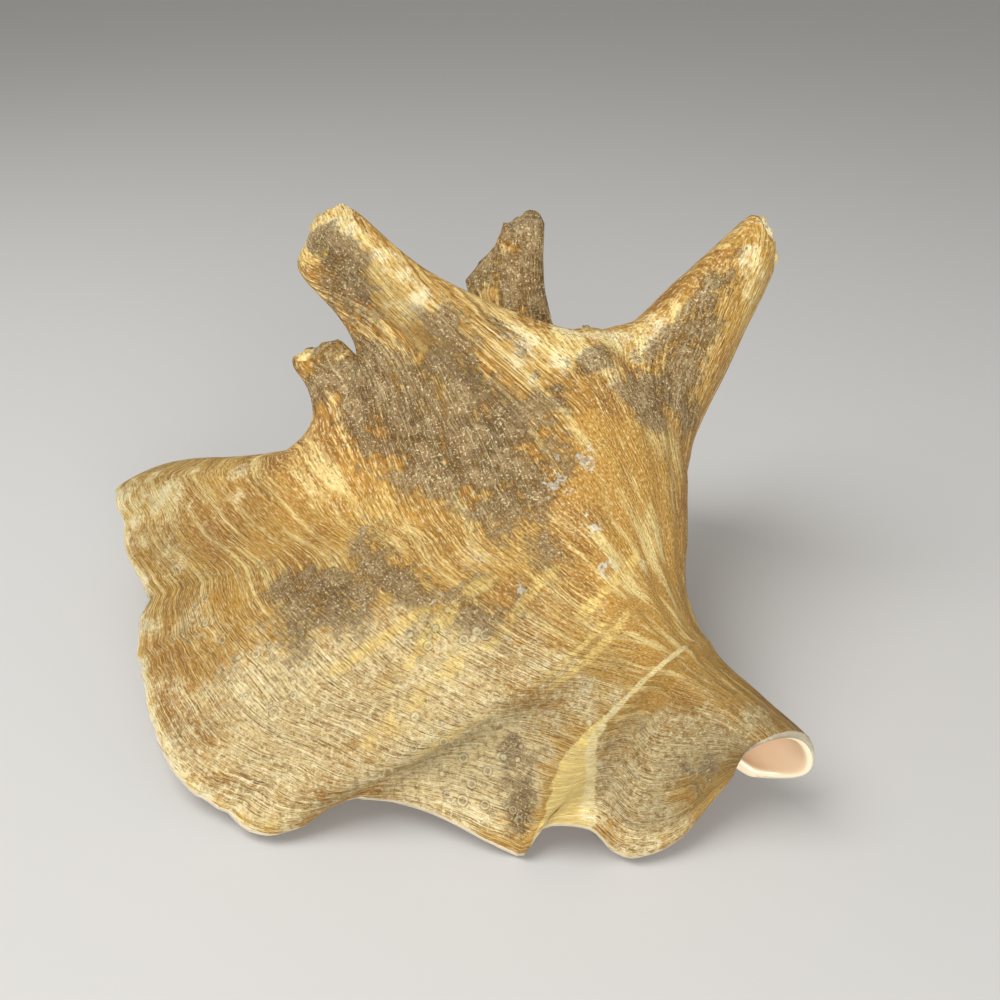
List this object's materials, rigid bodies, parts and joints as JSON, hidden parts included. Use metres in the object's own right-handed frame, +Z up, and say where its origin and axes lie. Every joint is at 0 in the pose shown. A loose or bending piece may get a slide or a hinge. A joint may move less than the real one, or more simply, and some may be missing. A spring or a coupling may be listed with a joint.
{
  "type": "queen conch shell",
  "caption": "Coiled sea shell with a wide flared lip, tall blunt shoulder spines, a short tubular canal and a deep pink-lined mouth on its underside.",
  "frame": {"origin": "centre of the bounding box, at floor level", "axes": "+Z up as it lies on its mouth; the pictured side with the canal and the front of the lip faces -Y; the lip spreads toward -X, its longest way"},
  "size_m": [0.2536, 0.1984, 0.1567],
  "materials": {
    "shell": "matt, weathered outside, glossy inside"
  },
  "bodies": {
    "root": {"shell": "shell"}
  },
  "joints": []
}
